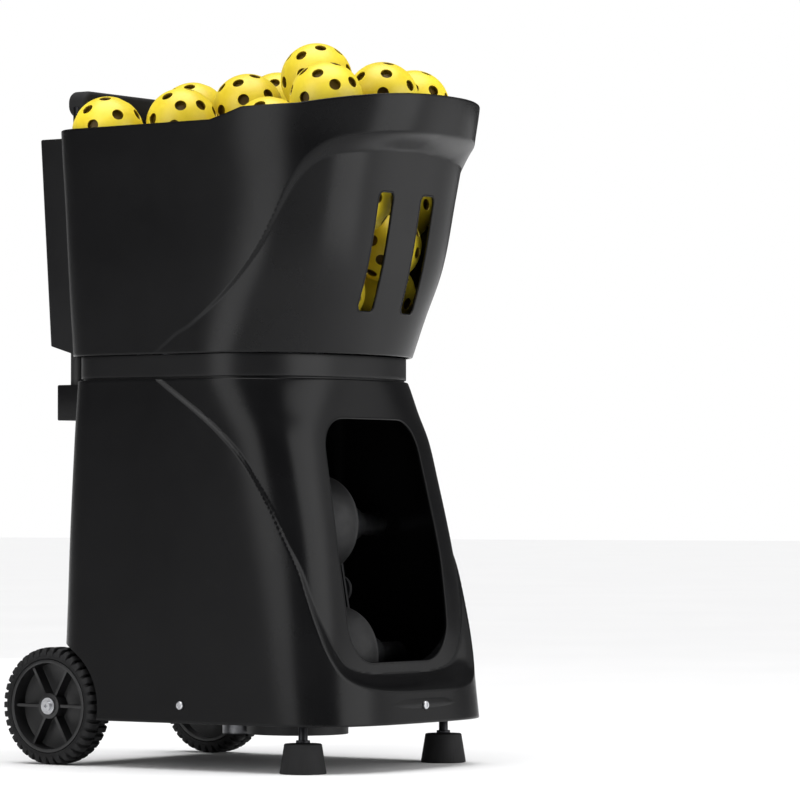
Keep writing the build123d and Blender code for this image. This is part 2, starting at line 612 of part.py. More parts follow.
def floor_height(x, y):
    """Lowest centre of a ball over the disc or over the funnel's cone."""
    reach = math.hypot(x, y - DISC_Y)
    on_disc = DISC_HIGH + BALL_R + 0.6
    on_cone = DECK_HIGH + (reach - CONE_R) * CONE_SLOPE + (BALL_R + 0.8) * math.hypot(1, CONE_SLOPE)
    on_cap = 460 + BALL_R + 0.6 if reach < 30 else 0
    return max(on_disc, on_cone, on_cap)


def lowest_place(x, y, balls, pitch):
    z = floor_height(x, y)
    moved = True
    while moved:
        moved = False
        for bx, by, bz in balls:
            flat = math.hypot(x - bx, y - by)
            if flat < pitch:
                lift = math.sqrt(pitch ** 2 - flat ** 2)
                if bz - lift < z < bz + lift:
                    z = bz + lift + 0.01
                    moved = True
    return z


def ball_centres():
    """The top balls as placed, and the rest dropped one by one into the lowest free place below them."""
    pitch, step = 2 * BALL_R + 0.6, 8
    balls = [tuple(map(float, b)) for b in TOP_BALLS]
    while True:
        best = None
        for x in range(-104, 105, step):
            for y in range(-140, 129, step):
                if x > 40 and y > 54:            # corner kept free
                    continue
                z = lowest_place(x, y, balls, pitch)
                if (best is None or z < best[2]) and z < 640 and inside_hopper(x, y, z) \
                        and inside_hopper(x, y, z - 12):
                    best = (x, y, z)
        if best is None:
            return balls
        balls.append(best)


def hole_directions():
    """Towards a cube's faces, edges and corners: 26 holes."""
    steps = (-1, 0, 1)
    return [Vector(x, y, z).normalized() for x in steps for y in steps for z in steps if x or y or z]


def one_ball():
    ball = Sphere(BALL_R) - Sphere(BALL_R - BALL_WALL)
    drills = [Plane(origin=d * (BALL_R - 1), z_dir=d) * Cylinder(BALL_HOLE_R, 9) for d in hole_directions()]
    return ball - Compound(children=drills)


def pickleballs():
    ball = one_ball()
    load = []
    for k, (x, y, z) in enumerate(ball_centres()):
        load.append(Pos(x, y, z) * Rot(37 * k % 360, 71 * k % 360, 113 * k % 360) * ball)
    return Compound(children=load)


# ---- every node ----
NODES = {
    "base_shell": base_shell, "neck_band": neck_band, "hopper_shell": hopper_shell,
    "shell_screws": shell_screws, "base_plate": base_plate, "frame_posts": frame_posts,
    "axle_bracket": axle_bracket, "axle": axle,
    "right_tyre": tyre, "left_tyre": lambda: mirror(tyre(), about=Plane.YZ),
    "right_rim": rim, "left_rim": lambda: mirror(rim(), about=Plane.YZ),
    "axle_screws": lambda: Compound(children=[axle_screw(), mirror(axle_screw(), about=Plane.YZ)]),
    "left_foot_cup": lambda: foot_cup(-1), "right_foot_cup": lambda: foot_cup(1),
    "left_foot_stem": lambda: foot_stem(-1), "right_foot_stem": lambda: foot_stem(1),
    "foot_nuts": foot_nuts, "turntable_gear": turntable_gear, "yaw_bushing": yaw_bushing,
    "swing_motor": swing_motor, "swing_pinion": swing_pinion,
    "left_yoke": lambda: yoke(-1), "right_yoke": lambda: yoke(1), "ball_guide": ball_guide,
    "left_cradle_plate": lambda: cradle_plate(-1), "right_cradle_plate": lambda: cradle_plate(1),
    "pivot_pins": pivot_pins, "elevation_motor": elevation_motor,
    "upper_launch_hub": lambda: launch_hub(UPPER_Y, UPPER_Z),
    "lower_launch_hub": lambda: launch_hub(LOWER_Y, LOWER_Z),
    "upper_launch_tread": lambda: launch_tread(UPPER_Y, UPPER_Z),
    "lower_launch_tread": lambda: launch_tread(LOWER_Y, LOWER_Z),
    "upper_launch_motor": lambda: launch_motor(UPPER_Y, UPPER_Z),
    "lower_launch_motor": lambda: launch_motor(LOWER_Y, LOWER_Z),
    "feed_deck": feed_deck, "feed_funnel": feed_funnel, "feed_disc": feed_disc,
    "feed_motor": feed_motor, "drop_tube": drop_tube,
    "battery": battery, "battery_strap": battery_strap, "control_board": control_board,
    "rear_box": rear_box, "control_panel": control_panel, "display": display,
    "power_rocker": power_rocker, "rocker_frame": rocker_frame, "charging_socket": charging_socket,
    "handle_bracket": handle_bracket, "handle_tubes": handle_tubes, "handle_rods": handle_rods,
    "handle_grip": handle_grip, "pickleballs": pickleballs,
}
for number, across in enumerate(BUTTON_X, start=1):
    NODES[f"button_{number}"] = lambda across=across: push_button(across)

for node, make in NODES.items():
    save(node, make())
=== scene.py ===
import math

import bmesh
import bpy
import numpy as np
from mathutils import Matrix, Vector


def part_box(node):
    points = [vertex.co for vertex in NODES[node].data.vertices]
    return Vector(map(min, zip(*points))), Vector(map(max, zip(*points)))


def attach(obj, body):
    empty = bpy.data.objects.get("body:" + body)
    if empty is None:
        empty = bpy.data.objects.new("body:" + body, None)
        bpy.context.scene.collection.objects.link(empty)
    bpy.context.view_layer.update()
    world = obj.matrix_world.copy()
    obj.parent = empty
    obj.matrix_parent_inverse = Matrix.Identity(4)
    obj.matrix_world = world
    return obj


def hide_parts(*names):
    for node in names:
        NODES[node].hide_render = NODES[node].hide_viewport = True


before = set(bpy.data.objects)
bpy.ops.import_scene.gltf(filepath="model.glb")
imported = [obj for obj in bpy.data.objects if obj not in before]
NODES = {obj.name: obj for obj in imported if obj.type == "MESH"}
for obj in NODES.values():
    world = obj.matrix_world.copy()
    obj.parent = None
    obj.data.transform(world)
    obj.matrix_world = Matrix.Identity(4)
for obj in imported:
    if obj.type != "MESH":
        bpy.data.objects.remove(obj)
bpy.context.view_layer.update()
MM = 0.001


def box_mm(node):
    """Lowest and highest corner of a CAD node, in millimetres."""
    low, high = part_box(node)
    return np.array(low) / MM, np.array(high) / MM


def centre_mm(node):
    low, high = box_mm(node)
    return (low + high) / 2


# ---- materials: every surface is made from noise, ramps and bumps in object space ----
def linear(red, green, blue):
    """An sRGB colour from 0 to 255 as a linear RGBA."""
    def one(value):
        value /= 255
        return value / 12.92 if value <= 0.04045 else ((value + 0.055) / 1.055) ** 2.4
    return (one(red), one(green), one(blue), 1)


class Surface:
    """A Principled material with its node tree, written one layer at a time."""

    def __init__(self, name, **constants):
        self.material = bpy.data.materials.new(name)
        self.material.use_nodes = True
        self.tree = self.material.node_tree
        self.shader = self.tree.nodes["Principled BSDF"]
        for socket, value in constants.items():
            self.shader.inputs[socket.replace("_", " ")].default_value = value
        self.place = self.node("ShaderNodeTexCoord").outputs["Object"]
        self.bump_out = None

    def node(self, kind, **inputs):
        made = self.tree.nodes.new(kind)
        for socket, value in inputs.items():
            made.inputs[socket].default_value = value
        return made

    def link(self, source, target):
        self.tree.links.new(source, target)

    def stretched(self, scale):
        mapping = self.node("ShaderNodeMapping", Scale=scale)
        self.link(self.place, mapping.inputs["Vector"])
        return mapping.outputs["Vector"]

    def noise(self, scale, detail=4.0, roughness=0.6, stretch=None):
        made = self.node("ShaderNodeTexNoise", Scale=scale, Detail=detail, Roughness=roughness)
        self.link(self.stretched(stretch) if stretch else self.place, made.inputs["Vector"])
        return made.outputs["Fac"]

    def cells(self, scale):
        made = self.node("ShaderNodeTexVoronoi", Scale=scale)
        self.link(self.place, made.inputs["Vector"])
        return made.outputs["Distance"]

    def waves(self, scale, direction="X", distortion=0.0):
        made = self.node("ShaderNodeTexWave", Scale=scale, Distortion=distortion)
        made.bands_direction = direction
        self.link(self.place, made.inputs["Vector"])
        return made.outputs["Fac"]

    def ramp(self, factor, *stops):
        made = self.node("ShaderNodeValToRGB")
        elements = made.color_ramp.elements
        while len(elements) < len(stops):
            elements.new(0.5)
        for element, (position, colour) in zip(elements, stops):
            element.position, element.color = position, colour
        self.link(factor, made.inputs["Fac"])
        return made.outputs["Color"]

    def colour(self, factor, *stops):
        self.link(self.ramp(factor, *stops), self.shader.inputs["Base Color"])

    def roughness(self, factor, low, high):
        made = self.node("ShaderNodeMapRange")
        made.inputs["To Min"].default_value = low
        made.inputs["To Max"].default_value = high
        self.link(factor, made.inputs["Value"])
        self.link(made.outputs["Result"], self.shader.inputs["Roughness"])

    def bump(self, height, depth_mm, strength=1.0):
        """Adds one layer of relief over those before it."""
        made = self.node("ShaderNodeBump", Strength=strength, Distance=depth_mm * MM)
        self.link(height, made.inputs["Height"])
        if self.bump_out is not None:
            self.link(self.bump_out, made.inputs["Normal"])
        self.bump_out = made.outputs["Normal"]
        self.link(self.bump_out, self.shader.inputs["Normal"])


def moulded(name, dark, light, low=0.38, high=0.5, grain=1500, depth=0.05, specular=0.4):
    """Moulded plastic with a fine spark-eroded grain and faint flow clouds."""
    surface = Surface(name, Specular_IOR_Level=specular)
    surface.colour(surface.noise(14, 5), (0.3, linear(*dark)), (0.75, linear(*light)))
    surface.roughness(surface.noise(45, 6), low, high)
    surface.bump(surface.noise(grain, 2, 0.5), depth)
    surface.bump(surface.noise(6, 2), 0.25, 0.3)
    return surface.material


def rubber(name, dark, light, pits=900, depth=0.12):
    """Matt rubber with small pits and a little dust."""
    surface = Surface(name, Specular_IOR_Level=0.3)
    surface.colour(surface.noise(60, 8, 0.7), (0.35, linear(*dark)), (0.8, linear(*light)))
    surface.roughness(surface.noise(120, 4), 0.62, 0.85)
    surface.bump(surface.cells(pits), depth, 0.7)
    surface.bump(surface.noise(250, 4), 0.08, 0.5)
    return surface.material


def metal(name, dark, light, low, high, stretch=(1, 1, 1), scale=400, depth=0.02):
    """Metal with drawn or turned marks along one direction and small stains."""
    surface = Surface(name, Metallic=1.0)
    surface.colour(surface.noise(50, 6, 0.65), (0.3, linear(*dark)), (0.7, linear(*light)))
    surface.roughness(surface.noise(scale, 3, stretch=stretch), low, high)
    surface.bump(surface.noise(scale * 2, 2, stretch=stretch), depth, 0.6)
    return surface.material


def ball_plastic(name, dark, light):
    """Soft matt plastic, a little darker in blotches, with fine scuffs."""
    surface = Surface(name, Specular_IOR_Level=0.45, Subsurface_Weight=0.08)
    surface.shader.inputs["Subsurface Radius"].default_value = (0.004, 0.003, 0.001)
    surface.colour(surface.noise(30, 6, 0.6), (0.3, linear(*dark)), (0.7, linear(*light)))
    surface.roughness(surface.noise(90, 6), 0.36, 0.5)
    surface.bump(surface.noise(700, 3), 0.03)
    surface.bump(surface.noise(160, 8, 0.8, stretch=(1, 1, 5)), 0.05, 0.4)
    return surface.material


def circuit_board():
    """Green solder mask with copper tracks under it."""
    surface = Surface("circuit_board", Specular_IOR_Level=0.6)
    tracks = surface.node("ShaderNodeTexBrick", Scale=220.0)
    tracks.inputs["Mortar Size"].default_value = 0.03
    surface.link(surface.stretched((0, 1, 1)), tracks.inputs["Vector"])
    surface.colour(tracks.outputs["Fac"], (0.2, linear(10, 62, 36)), (0.9, linear(40, 120, 70)))
    surface.roughness(surface.noise(80), 0.25, 0.4)
    surface.bump(tracks.outputs["Fac"], 0.05)
    return surface.material


def screen_glass():
    """Dark display window with the faint rows of its pixels."""
    surface = Surface("screen_glass", Coat_Weight=0.6, Coat_Roughness=0.05)
    rows = surface.waves(900, "Z")
    surface.colour(rows, (0.3, linear(8, 12, 15)), (0.8, linear(17, 24, 28)))
    surface.roughness(surface.noise(70), 0.08, 0.2)
    surface.bump(rows, 0.01, 0.3)
    return surface.material


def lit_digits():
    surface = Surface("lit_digits", Emission_Strength=1.6)
    glow = surface.ramp(surface.noise(900, 2), (0.3, linear(60, 190, 150)), (0.8, linear(110, 235, 190)))
    surface.link(glow, surface.shader.inputs["Emission Color"])
    surface.link(glow, surface.shader.inputs["Base Color"])
    surface.roughness(surface.noise(300), 0.3, 0.5)
    return surface.material


def cell_wrap():
    """Heat-shrunk film over the battery's cells."""
    surface = Surface("cell_wrap", Specular_IOR_Level=0.6)
    bands = surface.waves(8.5, "X")
    surface.colour(surface.noise(40, 6), (0.3, linear(22, 66, 128)), (0.8, linear(36, 92, 160)))
    surface.roughness(surface.noise(160, 4), 0.2, 0.38)
    surface.bump(bands, 1.2, 0.8)
    surface.bump(surface.noise(140, 6), 0.2, 0.5)
    return surface.material


def tread_rubber():
    """Launch wheel rubber: fine ribs across the tread and a dusty bloom."""
    surface = Surface("tread_rubber", Specular_IOR_Level=0.35)
    surface.colour(surface.noise(70, 8, 0.7), (0.35, linear(25, 25, 26)), (0.8, linear(40, 40, 41)))
    surface.roughness(surface.noise(100, 5), 0.5, 0.75)
    surface.bump(surface.waves(260, "X", 0.6), 0.12, 0.5)
    surface.bump(surface.noise(600, 3), 0.08, 0.6)
    return surface.material


FINISH = {
    "shell": moulded("shell_black", (11, 11, 12), (15, 15, 16), 0.21, 0.29, specular=0.15),
    "trim": moulded("trim_black", (13, 13, 14), (17, 17, 18), 0.28, 0.38, specular=0.18),
    "box": moulded("rear_box_grey", (17, 17, 18), (23, 23, 24), 0.4, 0.52, specular=0.12),
    "deck": moulded("deck_black", (16, 16, 17), (24, 24, 25), 0.5, 0.65, 900),
    "frame_plate": moulded("powder_coat", (22, 22, 23), (32, 32, 34), 0.42, 0.56, 800, 0.09, 0.4),
    "dark_steel": metal("black_oxide", (30, 30, 32), (48, 48, 51), 0.28, 0.46, (1, 1, 0.03)),
    "steel": metal("drawn_steel", (120, 121, 124), (165, 166, 170), 0.2, 0.4, (1, 1, 0.03)),
    "shaft": metal("turned_steel", (120, 121, 124), (165, 166, 170), 0.2, 0.36, (12, 1, 1)),
    "zinc": metal("zinc_plate", (168, 169, 172), (212, 213, 216), 0.22, 0.4, scale=900),
    "bronze": metal("sintered_bronze", (132, 92, 48), (168, 122, 66), 0.35, 0.5, scale=1400, depth=0.05),
    "motor": metal("motor_can", (96, 97, 100), (138, 139, 142), 0.32, 0.48, (1, 1, 9), 220),
    "tyre_rubber": rubber("tyre_rubber", (17, 17, 18), (30, 30, 31)),
    "rim": moulded("rim_plastic", (14, 14, 15), (21, 21, 22), 0.34, 0.48, 1200, 0.06, 0.5),
    "foot_rubber": rubber("foot_rubber", (20, 20, 21), (32, 32, 33), 1300, 0.06),
    "stem": metal("black_zinc", (38, 38, 40), (66, 66, 69), 0.3, 0.5, (1, 1, 14), 300),
    "grip": rubber("grip_rubber", (18, 18, 19), (28, 28, 29), 700, 0.2),
    "tread": tread_rubber(),
    "gear": moulded("white_acetal", (205, 203, 195), (228, 226, 218), 0.35, 0.5, 700, 0.05, 0.5),
    "cell": cell_wrap(),
    "board": circuit_board(),
    "panel": moulded("panel_black", (20, 21, 23), (27, 28, 30), 0.3, 0.42, 1800, 0.03, 0.5),
    "screen": screen_glass(),
    "digits": lit_digits(),
    "button": rubber("button_rubber", (58, 60, 63), (78, 80, 83), 1500, 0.04),
    "rocker": moulded("rocker_red", (126, 24, 20), (156, 34, 28), 0.25, 0.38, 1600, 0.02, 0.5),
    "mark": moulded("white_marks", (190, 192, 194), (222, 224, 226), 0.5, 0.65),
    "ball": ball_plastic("ball_plastic", (222, 196, 38), (240, 218, 60)),
    # a darker copy of the ball plastic for the inside faces of the hollow balls: painted shade, not a
    # different plastic
    "ball_inside_painted_shade": ball_plastic("ball_inside_painted_shade", (104, 80, 10), (132, 104, 16)),
}


# ---- mesh tools, in millimetres ----
SMOOTH_BELOW = 32                # degrees between two faces that are shaded as one surface


def piece_from(name, points, faces, material, smooth_angle=SMOOTH_BELOW):
    mesh = bpy.data.meshes.new(name)
    mesh.from_pydata(np.asarray(points, float) * MM, [], [list(f) for f in faces])
    mesh.validate()
    mesh.materials.append(material)
    piece = bpy.data.objects.new(name, mesh)
    bpy.context.scene.collection.objects.link(piece)
    shade(piece, smooth_angle)
    return piece


def shade(piece, smooth_angle=SMOOTH_BELOW):
    mesh = piece.data
    mesh.polygons.foreach_set("use_smooth", [True] * len(mesh.polygons))
    mesh.set_sharp_from_angle(angle=math.radians(smooth_angle))


def settle(piece, body, slot, *replaced):
    """Puts a finished piece on its body and hides the CAD nodes it stands for; slot is not used."""
    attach(piece, body)
    if replaced:
        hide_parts(*replaced)
    return piece


class Form:
    """Points and faces gathered from several parts before they become one piece."""

    def __init__(self):
        self.points, self.faces = [], []

    def add(self, points, faces, place=None):
        start = len(self.points)
        for point in points:
            self.points.append(tuple(place @ Vector(point)) if place else tuple(point))
        self.faces += [[start + i for i in face] for face in faces]

    def piece(self, name, material, smooth_angle=SMOOTH_BELOW):
        return piece_from(name, self.points, self.faces, material, smooth_angle)


def lathe(profile, segments, closed=True):
    """Points and faces of a profile of (along, radius) turned round the X axis."""
    points, faces, rows = [], [], len(profile)
    for k in range(segments):
        angle = 2 * math.pi * k / segments
        points += [(x, r * math.cos(angle), r * math.sin(angle)) for x, r in profile]
    for k in range(segments):
        this, after = k * rows, (k + 1) % segments * rows
        for j in range(rows if closed else rows - 1):
            n = (j + 1) % rows
            faces.append([this + j, this + n, after + n, after + j])
    if not closed:
        faces += [[k * rows for k in reversed(range(segments))],
                  [k * rows + rows - 1 for k in range(segments)]]
    return points, faces


def tube(path, radius, sides=10):
    """A closed round bead along a closed path."""
    path = np.asarray(path, float)
    tangents = np.roll(path, -1, 0) - np.roll(path, 1, 0)
    points, faces, count = [], [], len(path)
    for centre, tangent in zip(path, tangents):
        along = Vector(tangent).normalized()
        side = along.cross(Vector((0, 1, 0))).normalized()
        up = side.cross(along)
        for j in range(sides):
            angle = 2 * math.pi * j / sides
            points.append(Vector(centre) + radius * (math.cos(angle) * side + math.sin(angle) * up))
    for k in range(count):
        for j in range(sides):
            a, b = k * sides + j, k * sides + (j + 1) % sides
            c, d = (k + 1) % count * sides + (j + 1) % sides, (k + 1) % count * sides + j
            faces.append([a, b, c, d])
    return points, faces


def prism_y(outline, y0, y1):
    """A closed outline of (x, z) carried from y0 to y1."""
    count = len(outline)
    points = [(x, y0, z) for x, z in outline] + [(x, y1, z) for x, z in outline]
    faces = [[k, (k + 1) % count, count + (k + 1) % count, count + k] for k in range(count)]
    return points, faces + [list(reversed(range(count))), list(range(count, 2 * count))]


def block(low, high):
    x, y, z = zip(low, high)
    points = [(x[i], y[j], z[k]) for i in (0, 1) for j in (0, 1) for k in (0, 1)]
    faces = [[0, 1, 3, 2], [4, 6, 7, 5], [0, 4, 5, 1], [2, 3, 7, 6], [0, 2, 6, 4], [1, 5, 7, 3]]
    return points, faces


def outward(piece):
    """Makes a closed mesh's faces point outwards."""
    form = bmesh.new()
    form.from_mesh(piece.data)
    bmesh.ops.recalc_face_normals(form, faces=form.faces)
    if form.calc_volume(signed=True) < 0:
        bmesh.ops.reverse_faces(form, faces=form.faces)
    form.to_mesh(piece.data)
    form.free()


def combine(target, tool, operation):
    """One boolean, applied, with the tool then removed."""
    outward(target)
    outward(tool)
    modifier = target.modifiers.new(operation, "BOOLEAN")
    modifier.operation, modifier.solver, modifier.object = operation, "MANIFOLD", tool
    depsgraph = bpy.context.evaluated_depsgraph_get()
    made = bpy.data.meshes.new_from_object(target.evaluated_get(depsgraph))
    target.modifiers.clear()
    target.data = made
    bpy.data.objects.remove(tool)


def cutter(points, faces):
    """A shape for combine to use up."""
    return piece_from("cutter", points, faces, FINISH["shell"])


def rounded_copy(node, width, material, segments=2, angle=30):
    """A CAD node's own shape with its sharp edges broken, as a moulded or turned piece has them."""
    form = bmesh.new()
    form.from_mesh(NODES[node].data)
    bmesh.ops.remove_doubles(form, verts=form.verts, dist=0.01 * MM)
    bmesh.ops.dissolve_limit(form, angle_limit=math.radians(0.4), verts=form.verts, edges=form.edges)
    sharp = [e for e in form.edges if e.is_manifold and e.calc_face_angle(0) > math.radians(angle)]
    bmesh.ops.bevel(form, geom=sharp, offset=width * MM, segments=segments, profile=0.5,
                    affect="EDGES", clamp_overlap=True)
    form.verts.index_update()
    points = [v.co / MM for v in form.verts]
    faces = [[v.index for v in f.verts] for f in form.faces]
    form.free()
    return piece_from(node + "_finish", points, faces, material, angle)


# ---- the two shells ----
CORNER = 35.0                    # plan radius of the rear corners
PLAN_MIDDLE = 20.0               # distance in front of the origin that outlines are matched from
BASE_LOW, BASE_HIGH, BASE_WALL = 47, 392, 3.5
NECK_LOW, NECK_HIGH, NECK_WALL = 394, 416.7, 3.5
HOPPER_LOW, HOPPER_TOP, HOPPER_WALL = 417, 690, 3.0
TONGUE_LOW, TONGUE_HIGH = 384, 394.4          # the neck's tongue inside the base shell
SLOT_X, SLOT_HALF, SLOT_LOW, SLOT_HIGH, SLOT_CORNER = 36, 13, 459, 579, 7
ARCH_R, ARCH_X, ARCH_WALL = 66.0, 114.0, 3    # the wheel arches
AXLE_NOTCH = (-108, 120, 40), (108, 200, 76)  # cut out of the rear wall's lower edge
AXLE_HOLE_R = 7
FRONT_Y, DEPTH_Y = -240, -100                 # from well in front of the machine to behind its front walls
# plan sections: height, half width, rear y, front y, y where the front curve starts, curve power
BASE_FULL = [(47, 151.0, 163.5, -199.5, -100, 3.4), (88, 150.5, 162.0, -196.0, -95, 3.3),
             (160, 150.3, 158.8, -193.0, -80, 3.3), (225, 150.0, 156.4, -188.0, -65, 3.2),
             (291, 149.8, 153.0, -173.0, -48, 3.2), (358, 149.0, 149.3, -154.0, -32, 2.9),
             (392, 148.2, 147.3, -138.0, -24, 2.5)]
BASE_SUNK = [(47, 149.9, 163.0, -168.5, -92, 5.2), (88, 149.9, 161.4, -168.5, -92, 5.2),
             (138, 149.3, 159.6, -167.0, -86, 5.2), (190, 148.5, 157.7, -161.0, -72, 5.1),
             (225, 147.6, 156.4, -155.5, -58, 5.0), (291, 146.3, 153.0, -142.5, -46, 4.4),
             (331, 145.8, 150.9, -134.5, -40, 3.9), (358, 145.6, 149.3, -130.5, -32, 3.1),
             (392, 145.4, 147.3, -127.5, -24, 2.4)]
NECK = [(z, 144.3, 146.0, -125.5, -24, 2.4) for z in (384, 395, 406, 417)]
HOPPER_FULL = [(417, 147.2, 154.3, -138.7, -20, 2.27), (459, 148.6, 156.7, -155.0, -22, 2.75),
               (504, 149.8, 159.0, -172.0, -28, 3.2), (578, 150.8, 163.0, -194.0, -42, 3.2),
               (630, 151.8, 166.2, -217.0, -50, 2.5), (676, 152.2, 168.4, -227.5, -50, 2.42),
               (690, 152.3, 169.0, -228.5, -50, 2.42)]
HOPPER_SUNK = [(417, 147.0, 154.3, -138.5, -20, 2.27), (459, 148.0, 156.5, -151.0, -20, 2.6),
               (504, 149.0, 158.8, -163.5, -25, 3.1), (578, 150.0, 162.6, -178.0, -35, 3.35),
               (630, 151.0, 165.4, -188.0, -40, 3.4), (690, 151.0, 165.4, -194.0, -40, 3.4)]
# the swoosh where the front sinks in: distance round from the front's middle, height, ledge width
BASE_SWOOSH = [(284, 410, 2.4), (266, 389, 2.4), (251, 372, 2.5), (221, 340, 2.8), (197, 308, 3),
               (179, 264, 3.6), (168, 229, 4), (158, 201, 4.6), (151, 172, 6), (143.5, 145, 8.5),
               (130, 113, 12), (110, 91.5, 14), (69, 82, 14.5), (0, 80.5, 14.5), (-30, 80.5, 14.5)]
HOPPER_SWOOSH = [(276, 404, 2.2), (250, 434, 2.2), (234, 445, 2.2), (208, 474, 2.5), (187, 513, 3),
                 (173, 550, 4), (160, 584, 8), (146, 602, 13.5), (126, 612, 16), (94, 616.5, 16.5),
                 (60, 618.6, 16.5), (0, 620.5, 16.5), (-30, 620.5, 16.5)]
# the hopper's rim from the side: y and height, from the rear to the raised front
RIM_LINE = [(190, 649), (-44, 650), (-62, 655), (-80, 661), (-140, 662.5), (-250, 678.5)]

FINE_STEP, FINE_END = 1.6, 296.0             # columns round the front, in millimetres
FINE = np.arange(0, FINE_END, FINE_STEP)
SIDE_COLUMNS, CORNER_COLUMNS, REAR_COLUMNS = 12, 14, 9


def section_values(table, z):
    """Half width, rear, front, start and power at heights z, on a smooth curve through the table."""
    table = np.array(table, float)
    heights, values = table[:, 0], table[:, 1:]
    slopes = np.gradient(values, heights, axis=0)
    z = np.clip(z, heights[0], heights[-1])
    k = np.clip(np.searchsorted(heights, z, side="right") - 1, 0, len(heights) - 2)
    span = (heights[k + 1] - heights[k])[:, None]
    t = (z - heights[k])[:, None] / span
    return ((2 * t ** 3 - 3 * t ** 2 + 1) * values[k] + (t ** 3 - 2 * t ** 2 + t) * span * slopes[k]
            + (3 * t ** 2 - 2 * t ** 3) * values[k + 1] + (t ** 3 - t ** 2) * span * slopes[k + 1])


def half_plan(section):
    """The right half of one plan section, from the front's middle to the rear's middle, as columns."""
    w, rear, front, start, power = section
    r = CORNER
    u = np.linspace(1, 0, 260)
    angle = math.pi / 2 * (3 * u ** 2 - 2 * u ** 3)
    x = w * np.maximum(np.cos(angle), 0) ** (2 / power)
    y = start - (start - front) * np.maximum(np.sin(angle), 0) ** (2 / power)
    x = np.append(x, w)
    y = np.append(y, rear - r)
    length = np.concatenate([[0], np.cumsum(np.hypot(np.diff(x), np.diff(y)))])
    side = FINE_END + (length[-1] - FINE_END) * np.linspace(0, 1, SIDE_COLUMNS)
    wanted = np.concatenate([FINE, side])
    turn = np.linspace(0, math.pi / 2, CORNER_COLUMNS + 1)[1:]
    x_all = np.concatenate([np.interp(wanted, length, x), w - r + r * np.cos(turn),
                            (w - r) * np.linspace(1, 0, REAR_COLUMNS + 1)[1:]])
    y_all = np.concatenate([np.interp(wanted, length, y), rear - r + r * np.sin(turn),
                            np.full(REAR_COLUMNS, rear)])
    return np.stack([x_all, y_all], axis=1)


def plan_rows(table, heights):
    return np.array([half_plan(section) for section in section_values(table, heights)])


def facing_rows(rows, outer):
    """Each row's outline again, with its points in the same directions from the middle as outer's."""
    def bearing(row):
        return np.arctan2(row[:, 0], -(row[:, 1] + PLAN_MIDDLE))

    made = []
    for row, target in zip(rows, outer):
        angles, wanted = bearing(row), bearing(target)
        made.append(np.stack([np.interp(wanted, angles, row[:, k]) for k in (0, 1)], axis=1))
    return np.array(made)


def smooth_line(points, steps=8):
    """A Catmull-Rom line through the points."""
    p = np.array(points, float)
    p = np.vstack([2 * p[0] - p[1], p, 2 * p[-1] - p[-2]])
    t = np.linspace(0, 1, steps, endpoint=False)[:, None]
    spans = [0.5 * (2 * b + (c - a) * t + (2 * a - 5 * b + 4 * c - d) * t ** 2
                    + (3 * b - a - 3 * c + d) * t ** 3) for a, b, c, d in zip(p, p[1:], p[2:], p[3:])]
    return np.vstack(spans + [p[-2][None]])


def beside(line, s, z):
    """Signed distance of points (s, z) from a line, positive on its left, and the width there."""
    best = np.full(s.shape, 1e9)
    signed, width = np.zeros(s.shape), np.ones(s.shape)
    for a, b in zip(line, line[1:]):
        d = b[:2] - a[:2]
        t = np.clip(((s - a[0]) * d[0] + (z - a[1]) * d[1]) / (d @ d), 0, 1)
        away_s, away_z = s - a[0] - t * d[0], z - a[1] - t * d[1]
        distance = np.hypot(away_s, away_z)
        nearer = distance < best
        best = np.where(nearer, distance, best)
        side = np.sign(d[0] * away_z - d[1] * away_s)
        signed = np.where(nearer, side * distance, signed)
        width = np.where(nearer, a[2] + t * (b[2] - a[2]), width)
    return signed, width


def rounded_ramp(t):
    """From 0 to 1, nearly straight, a little eased at both ends."""
    t = np.clip(t, 0, 1)
    return 0.75 * t + 0.25 * t * t * (3 - 2 * t)


class Shell:
    """The surface of one shell: full outline, sunk outline and the swoosh between them."""

    def __init__(self, full, sunk, sunk_share, low, high, step=1.6):
        self.heights = np.linspace(low, high, int((high - low) / step) + 1)
        outer = plan_rows(full, self.heights)
        inner = facing_rows(plan_rows(sunk, self.heights), outer)
        arc = np.arange(outer.shape[1]) * FINE_STEP
        s, z = np.meshgrid(arc, self.heights)
        share = sunk_share(s, z)[..., None]
        share[:, len(FINE):] = 0
        self.rows = outer * (1 - share) + inner * share

    def ring(self, z, inset=0.0):
        """Right half ring of points at heights z, one for each column, moved in by inset."""
        z = np.broadcast_to(np.asarray(z, float), (self.rows.shape[1],))
        k = np.clip(np.searchsorted(self.heights, z, side="right") - 1, 0, len(self.heights) - 2)
        t = (z - self.heights[k]) / (self.heights[k + 1] - self.heights[k])
        columns = np.arange(self.rows.shape[1])
        xy = self.rows[k, columns] * (1 - t)[:, None] + self.rows[k + 1, columns] * t[:, None]
        if inset:
            along = np.gradient(xy, axis=0)
            along[0] = (1, 0)
            along[-1] = (-1, 0)
            normal = np.stack([-along[:, 1], along[:, 0]], axis=1)
            xy = xy + inset * normal / np.linalg.norm(normal, axis=1)[:, None]
            xy[0, 0] = xy[-1, 0] = 0
        return np.column_stack([xy, z])


def whole_ring(half):
    """The right half and its mirror image as one closed ring."""
    left = half[-2:0:-1].copy()
    left[:, 0] *= -1
    return np.vstack([half, left])


def ring_faces(rows, columns, closed):
    faces = []
    for i in range(rows if closed else rows - 1):
        this, after = i * columns, (i + 1) % rows * columns
        for j in range(columns):
            n = (j + 1) % columns
            faces.append([this + j, this + n, after + n, after + j])
    return faces


